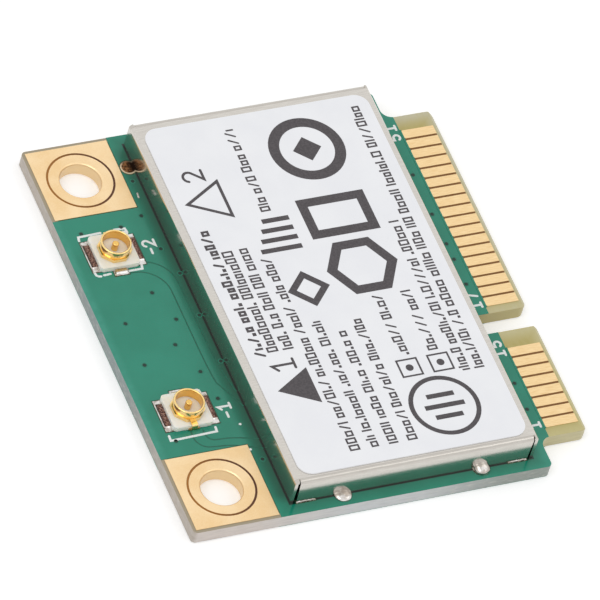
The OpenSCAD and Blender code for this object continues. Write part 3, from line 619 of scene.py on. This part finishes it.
def numeral_paths(number):
    bowl = arc(0.3, 0.29, 0.29, 215, 450, 12)
    return {
        1: [[(0.08, 0.78), (0.34, 1.0), (0.34, 0.0)], [(0.1, 0.0), (0.58, 0.0)]],
        2: [arc(0.3, 0.7, 0.28, 165, -35, 11) + [(0.03, 0.0), (0.6, 0.0)]],
        5: [[(0.54, 1.0), (0.1, 1.0), (0.06, 0.56)] + bowl[::-1]],
        7: [[(0.04, 1.0), (0.58, 1.0), (0.24, 0.0)]],
    }[number]


# The label's print: rows of strokes in place of text, plain figures in place of marks


def add_print_row(layer, chance, x, y0, y1, height, width):
    """Small plain figures in groups, like a line of print that can't be read, with feet at x + height."""
    kinds = ("box", "box", "box", "tall_box", "tall_box", "bar", "bar", "short_bar", "slant", "square")
    figure_gap, group_gap = 0.1, 0.24
    low_share = 0.74
    foot = x + height
    inset = width / 2
    y = y0
    group = chance.randint(3, 9)
    while y < y1 - 0.3:
        kind = chance.choice(kinds)
        tall = height if kind in ("tall_box", "bar", "slant") else height * low_share
        size = chance.uniform(0.34, 0.46)
        if kind in ("bar", "short_bar"):
            size = width
        if kind == "square":
            size = width * 1.5
            tall = size
        top = foot - tall
        if "box" in kind:
            layer.band(rectangle(top + inset, foot - inset, y + inset, y + size - inset), width)
        elif kind == "slant":
            layer.line([(foot - inset, y + inset), (top + inset, y + size - inset)], width)
        else:
            layer.plate(rectangle(top, foot, y, y + size))
        y += size + figure_gap
        group -= 1
        if group == 0:
            y += group_gap
            group = chance.randint(3, 9)


def label_print(ink):
    """Everything that is printed on the label. X runs down the lines of print, and Y along them."""
    rear = label_low.x
    middle = (label_low.y + label_high.y) / 2
    chance = random.Random(11)
    layer = Layer(label_high.z)

    # Rows of print: distance from the label's rear end, start and end from its middle, height, stroke
    rows = (
        (0.55, -4.65, 5.7, 0.68, 0.16),
        (1.4, -4.4, 3.85, 0.72, 0.12),
        (2.4, -4.4, 3.7, 0.72, 0.12),
        (3.6, -12.55, 2.85, 0.68, 0.12),
        (4.85, -12.55, -2.4, 0.65, 0.12),
        (6.15, -12.55, -3.75, 0.62, 0.12),
        (7.4, -12.55, -2.55, 0.65, 0.12),
        (5.05, 6.0, 12.9, 0.66, 0.12),
        (9.35, -6.35, -1.65, 0.65, 0.12),
        (11.25, -6.35, -1.35, 0.66, 0.12),
        (12.6, -8.25, 4.0, 0.67, 0.12),
        (13.55, -8.25, 12.95, 0.67, 0.12),
    )
    for start, y0, y1, height, width in rows:
        add_print_row(layer, chance, rear + start, middle + y0, middle + y1, height, width)

    # The two triangles that tell the receptacles apart, each with its number
    layer.plate(moved([(0.92, -7.3), (3.3, -8.67), (3.3, -5.93)], rear, middle))
    layer.band(moved([(0.75, 7.5), (3.2, 6.12), (3.2, 8.88)], rear, middle), 0.2)
    layer.numeral(1, rear + 2.7, middle - 5.95, 1.45, 0.17)
    layer.numeral(2, rear + 2.5, middle + 9.15, 1.3, 0.17)

    # A thick ring round a plain square that stands on its corner
    ring_x, ring_y = rear + 9.75, middle + 10.15
    layer.band(disc(ring_x, ring_y, 2.1, 48), 0.7)
    layer.plate(disc(ring_x, ring_y, 0.95, 4))
    # A thin ring with three bars
    ring_x, ring_y = rear + 10.65, middle - 10.5
    bar_half_w = 0.17
    layer.band(disc(ring_x, ring_y, 2.1, 48), 0.3)
    for offset, reach in ((-0.8, 0.9), (0.0, 1.3), (0.8, 0.9)):
        bar = rectangle(-reach, reach, offset - bar_half_w, offset + bar_half_w)
        layer.plate(moved(bar, ring_x, ring_y))
    # Two thick open figures side by side, and a small open diamond
    layer.band(disc(rear + 9.7, middle + 0.75, 2.0, 6), 0.62)
    layer.band(moved(rectangle(7.75, 11.65, 3.6, 6.1), rear, middle), 0.62)
    layer.band(disc(rear + 5.75, middle - 0.25, 1.1, 4), 0.42)
    # Four bars of falling length
    bar_w, bar_pitch, shortening = 0.35, 0.75, 0.3
    for i in range(4):
        start_y = 2.85 + bar_pitch * i
        bar = rectangle(3.9 + shortening * i, 6.6, start_y, start_y + bar_w)
        layer.plate(moved(bar, rear, middle))
    # Two small squares, each with a dot
    for start in (8.95, 11.0):
        layer.band(moved(rectangle(start, start + 1.3, -7.95, -6.7), rear, middle), 0.12)
        layer.plate(disc(rear + start + 0.65, middle - 7.33, 0.25, 16))
    new_piece("label_print", layer.mesh, ink)


# Marks on the board


def silkscreen(ink):
    """White frames round the receptacles, and the plain numbers beside them and along the contacts."""
    line_w = 0.155
    layer = Layer(MASK_Z)
    one, two = socket_centre(1), socket_centre(2)

    # Frame of receptacle 2, then of receptacle 1, measured from their middles
    for path in (
        [(-1.72, 1.35), (-1.67, 1.63), (-0.2, 1.68)],
        [(0.75, 1.74), (1.42, 1.7), (1.46, 1.38)],
        [(-1.68, 1.1), (-1.68, 0.98)],
        [(-1.63, -0.66), (-1.63, -0.86)],
        [(-1.66, -1.2), (-1.62, -1.42), (-1.5, -1.52), (-1.36, -1.54)],
        [(-1.15, -1.5), (-0.72, -1.48)],
        [(0.47, -1.5), (1.37, -1.5), (1.5, -0.8)],
    ):
        layer.line(moved(path, two.x, two.y), line_w)
    path = [(-1.68, -1.5), (-1.7, -1.86), (1.33, -1.78), (1.36, -1.46)]
    layer.line(moved(path, one.x, one.y), line_w)

    # The number of each receptacle, with a dash before it
    number_x, number_h = -7.75, 0.78
    dash_x = number_x - number_h / 2
    for number, start_y in ((1, one.y - 0.35), (2, two.y + 0.05)):
        layer.numeral(number, number_x, start_y, number_h, line_w)
        layer.line([(dash_x, start_y - 0.55), (dash_x, start_y - 0.2)], line_w)

    # Numbers of the contacts at the ends of the rows
    foot_x = long_row_low.x - 0.2
    digit_h, digit_step = 0.72, 0.75
    for digits, y in (((1,), -12.1), ((1, 5), -6.45), ((1, 7), -2.6), ((5, 1), 11.0)):
        for i, digit in enumerate(digits):
            layer.numeral(digit, foot_x, y + i * digit_step, digit_h, line_w)

    # Two dots between receptacle 1 and the can
    for x, y in ((-7.65, -7.83), (-7.73, -9.78)):
        layer.plate(disc(x, y, 0.09, 12))
    new_piece("board_silkscreen", layer.mesh, ink)


def via_places():
    beside_can = [
        (-11.78, -2.33), (-11.78, 0.93), (-9.35, -1.25), (-9.3, 2.85), (-8.58, 0.6), (-8.58, -3.53),
        (-8.28, -5.7), (-7.28, -10.63), (-7.78, 8.68), (-7.33, 11.38), (-11.98, 8.1), (-9.35, 8.1),
        (-7.53, 5.98), (-11.98, -8.2), (-7.05, -3.03), (-7.05, 0.6), (-7.05, 3.93),
    ]
    strip_x = 10.25
    by_contacts = [(strip_x, y) for y in (8.2, 5.0, 2.6, 1.35, -0.65, -8.55, -10.6)]
    return beside_can + by_contacts


def vias(well, rim):
    """Plated through holes under the mask: a dark well in a slightly raised rim."""
    layer = Layer(MASK_Z)
    well_r, rim_r, count = 0.125, 0.2, 16
    rim_z = MASK_Z - 0.001
    for x, y in via_places():
        layer.plate(disc(x, y, well_r, count))
        inner = layer.ring(disc(x, y, well_r, count), layer.high)
        outer = layer.ring(disc(x, y, rim_r, count), rim_z)
        for i in range(count):
            j = (i + 1) % count
            face = layer.mesh.faces.new((inner[i], outer[i], outer[j], inner[j]))
            face.material_index = 1
    new_piece("board_vias", layer.mesh, well, rim)


def trace_gaps(gap):
    """The thin gaps in the copper on both sides of the two antenna lines, seen through the mask."""
    layer = Layer(MASK_Z, 0.002)
    gap_w = 0.09
    # Two from receptacle 2 along the can, then two from receptacle 1 to the can
    for path in (
        [(-10.25, 4.62)] + arc(-9.95, 2.72, 1.9, 75, 0, 9) + [(-8.05, -4.3), (-7.72, -4.95), (-6.95, -6.55)],
        [(-9.6, 5.32)] + arc(-9.4, 3.3, 2.0, 75, 0, 9) + [(-7.4, -2.7), (-7.02, -5.2), (-6.95, -5.4)],
        [(-10.82, -7.7)] + arc(-9.9, -8.15, 0.95, 190, 260, 7) + [(-8.6, -9.22), (-6.95, -9.85)],
        [(-10.05, -7.75)] + arc(-9.45, -8.05, 0.6, 190, 255, 6) + [(-8.6, -8.66), (-6.95, -9.1)],
    ):
        layer.line(eased(eased(path)), gap_w)
    new_piece("antenna_line_gaps", layer.mesh, gap)


def mask_lip(mask):
    """The edge of the mask, which runs a little way over the rounded inner ends of the contacts."""
    layer = Layer(MASK_Z, long_row_high.z + INK_T - MASK_Z)
    for low, high in ((long_row_low, long_row_high), (short_row_low, short_row_high)):
        layer.plate(rectangle(low.x - 0.03, low.x + 0.08, low.y - 0.06, high.y + 0.06))
    new_piece("mask_lip", layer.mesh, mask)


def test_strip(tin):
    """A short uncovered strip of tinned copper beside the can."""
    layer = Layer(MASK_Z, 0.01)
    layer.line([(-7.43, 10.08), (-7.38, 10.42)], 0.11)
    new_piece("test_strip", layer.mesh, tin)


# Solder along the side walls of the can


def drop(mesh, x, wall_y, side, centre_out, centre_up, radii, wobble, seed):
    """A frozen drop of solder: a ball that sags on the board and runs into the wall."""
    rings, count = 20, 28
    middle = Vector((x, wall_y + side * centre_out, SEAT_Z + centre_up))
    offset = Vector((seed * 7.3, seed * 3.1, 0.0))
    rows = []
    for i in range(rings + 1):
        polar = math.pi * i / rings
        row = []
        for j in range(count if 0 < i < rings else 1):
            turn = 2 * math.pi * j / count
            level = math.sin(polar)
            way = Vector((level * math.cos(turn), level * math.sin(turn), math.cos(polar)))
            broad, fine = noise.noise(way * 1.7 + offset), noise.noise(way * 4.5 + offset)
            grow = 1 + wobble * (broad + fine / 3)
            place = middle + Vector([part * radius for part, radius in zip(way, radii)]) * grow
            place.z = max(place.z, SEAT_Z)
            place.y = side * max(side * place.y, side * wall_y - 0.05)
            row.append(mesh.verts.new(place * MM))
        rows.append(row)
    for i in range(rings):
        upper, lower = rows[i], rows[i + 1]
        for j in range(count):
            k = (j + 1) % count
            if len(upper) == 1:
                mesh.faces.new((upper[0], lower[j], lower[k]))
            elif len(lower) == 1:
                mesh.faces.new((upper[k], upper[j], lower[0]))
            else:
                mesh.faces.new((upper[j], lower[j], lower[k], upper[k]))


def bead(mesh, x0, x1, wall_y, side, width, seed):
    """A thin uneven run of solder along the foot of the wall."""
    count = 24
    sections = []
    for i in range(count + 1):
        share = i / count
        swell = 1 + 0.7 * noise.noise(Vector((share * 6, seed, 0.0)))
        taper = min(1.0, 8 * share, 8 * (1 - share)) * 0.85 + 0.15
        out, up = width * swell * taper, width * 1.5 * swell * taper
        x = x0 + (x1 - x0) * share
        corners = ((-0.05, 0.0), (out, 0.0), (out * 0.45, up * 0.4), (0.0, up), (-0.05, up))
        sections.append(
            [mesh.verts.new(Vector((x, wall_y + side * y, SEAT_Z + z)) * MM) for y, z in corners]
        )
    for first, second in zip(sections, sections[1:]):
        for j in range(5):
            k = (j + 1) % 5
            mesh.faces.new((first[j], first[k], second[k], second[j]))
    mesh.faces.new(sections[0])
    mesh.faces.new(sections[-1][::-1])


def can_solder(solder):
    """On each side wall two drops, one low and one nearly a ball, and a thin run at each end."""
    reach = 4.56
    end_inset, end_l, end_w = 0.42, 1.2, 0.06
    mesh = bmesh.new()
    for side, wall_y in ((-1, can_low.y), (1, can_high.y)):
        # Place along the wall, distance of the centre from the wall and the board, radii, unevenness, seed
        for along, out, up, radii, wobble, seed in (
            (reach, 0.06, 0.0, (0.57, 0.52, 0.22), 0.05, 1),
            (-reach, 0.1, 0.08, (0.5, 0.5, 0.3), 0.08, 5),
        ):
            drop(mesh, CAN_MIDDLE_X + side * along, wall_y, side, out, up, radii, wobble, seed + side)
        for start, seed in ((can_low.x + end_inset, 2), (can_high.x - end_inset - end_l, 9)):
            bead(mesh, start, start + end_l, wall_y, side, end_w, seed + side)
    piece = new_piece("can_solder", mesh, solder)
    for face in piece.data.polygons:
        face.use_smooth = True
    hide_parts("shield_solder")


# Light, floor and camera


def aim(thing, place, target):
    thing.location = place
    thing.rotation_mode = "QUATERNION"
    thing.rotation_quaternion = (target - place).to_track_quat("-Z", "Y")


def from_angles(target, azimuth, elevation, away):
    """The point that lies in that direction from the target, with azimuth 0 at the card's -Y side."""
    a, e = math.radians(azimuth), math.radians(elevation)
    way = Vector((math.sin(a) * math.cos(e), -math.cos(a) * math.cos(e), math.sin(e)))
    return target + way * away


def softbox(name, azimuth, elevation, away, size, brightness):
    """A square lamp that looks as bright as white paper would with that many times the light."""
    lamp = bpy.data.lights.new(name, "AREA")
    lamp.shape = "SQUARE"
    lamp.size = size
    lamp.energy = brightness * math.pi * size * size
    thing = bpy.data.objects.new(name, lamp)
    bpy.context.scene.collection.objects.link(thing)
    centre = Vector((0.0, 0.0, 0.0))
    aim(thing, from_angles(centre, azimuth, elevation, away), centre)


def directly_seen(nodes, links):
    """1 for rays from the camera and from mirrors, 0 for those that carry light."""
    path = nodes.new("ShaderNodeLightPath")
    seen = nodes.new("ShaderNodeMath")
    seen.operation = "MAXIMUM"
    links.new(path.outputs["Is Camera Ray"], seen.inputs[0])
    links.new(path.outputs["Is Glossy Ray"], seen.inputs[1])
    return seen.outputs[0]


def white_world(fill):
    """White where the camera and reflections see it, and a little less as light."""
    world = bpy.data.worlds.new("studio")
    bpy.context.scene.world = world
    world.use_nodes = True
    nodes, links = world.node_tree.nodes, world.node_tree.links
    background = nodes["Background"]
    background.inputs["Color"].default_value = (1.0, 1.0, 1.0, 1.0)
    strength = nodes.new("ShaderNodeMapRange")
    strength.inputs["To Min"].default_value = fill
    strength.inputs["To Max"].default_value = 1.0
    links.new(directly_seen(nodes, links), strength.inputs["Value"])
    links.new(strength.outputs["Result"], background.inputs["Strength"])


def white_floor(albedo, glow):
    """A sheet of white paper. It glows a little where it is seen, and shows white outside the shadow."""
    material = bpy.data.materials.new("paper")
    material.use_nodes = True
    nodes, links = material.node_tree.nodes, material.node_tree.links
    shader = nodes["Principled BSDF"]
    shader.inputs["Base Color"].default_value = (albedo, albedo, albedo, 1.0)
    shader.inputs["Roughness"].default_value = 0.9
    shader.inputs["Specular IOR Level"].default_value = 0.0
    shader.inputs["Emission Color"].default_value = (1.0, 1.0, 1.0, 1.0)
    strength = nodes.new("ShaderNodeMath")
    strength.operation = "MULTIPLY"
    strength.inputs[1].default_value = glow
    links.new(directly_seen(nodes, links), strength.inputs[0])
    links.new(strength.outputs[0], shader.inputs["Emission Strength"])
    half = 2.0
    under_card = 0.01 * MM
    mesh = bpy.data.meshes.new("floor")
    corners = [(x, y, -under_card) for x, y in rectangle(-half, half, -half, half)]
    mesh.from_pydata(corners, [], [(0, 1, 2, 3)])
    mesh.materials.append(material)
    floor = bpy.data.objects.new("floor", mesh)
    bpy.context.scene.collection.objects.link(floor)


def camera():
    """The camera stands where the photographer's did, turned a little about its own axis."""
    target = Vector((-0.475, 0.373, 1.0)) * MM
    azimuth, elevation, away, roll = -35.03, 48.80, 537.45 * MM, 17.64
    data = bpy.data.cameras.new("camera")
    data.sensor_width = 36.0
    data.lens = 531.66
    data.clip_start = 0.01
    data.clip_end = 10.0
    thing = bpy.data.objects.new("camera", data)
    bpy.context.scene.collection.objects.link(thing)
    aim(thing, from_angles(target, azimuth, elevation, away), target)
    turn = Quaternion((0.0, 0.0, 1.0), math.radians(roll))
    thing.rotation_quaternion = thing.rotation_quaternion @ turn
    bpy.context.scene.camera = thing


def studio():
    white_world(fill=0.72)
    softbox("key_lamp", azimuth=-70, elevation=58, away=0.5, size=0.3, brightness=1.5)
    softbox("fill_lamp", azimuth=60, elevation=50, away=0.6, size=0.3, brightness=0.7)
    white_floor(albedo=0.88, glow=0.3)
    bpy.context.scene.view_settings.view_transform = "Standard"


finishes = slot_finishes()
dress_frame(finishes)
label_print(ink_finish("label_ink", screen(68, 63, 66), screen(82, 77, 80), 0.12))
silkscreen(ink_finish("white_ink", screen(226, 232, 229), screen(244, 247, 246), 0.1))
vias(
    ink_finish("via_well", screen(4, 38, 28), screen(10, 52, 40), 0.05),
    ink_finish("via_rim", screen(26, 114, 92), screen(34, 124, 101), 0.1),
)
trace_gaps(ink_finish("line_gap", screen(14, 92, 72), screen(20, 102, 80), 0.3))
test_strip(finishes["tinned_copper"])
mask_lip(finishes["solder_mask"])
can_solder(finishes["solder"])
camera()
studio()
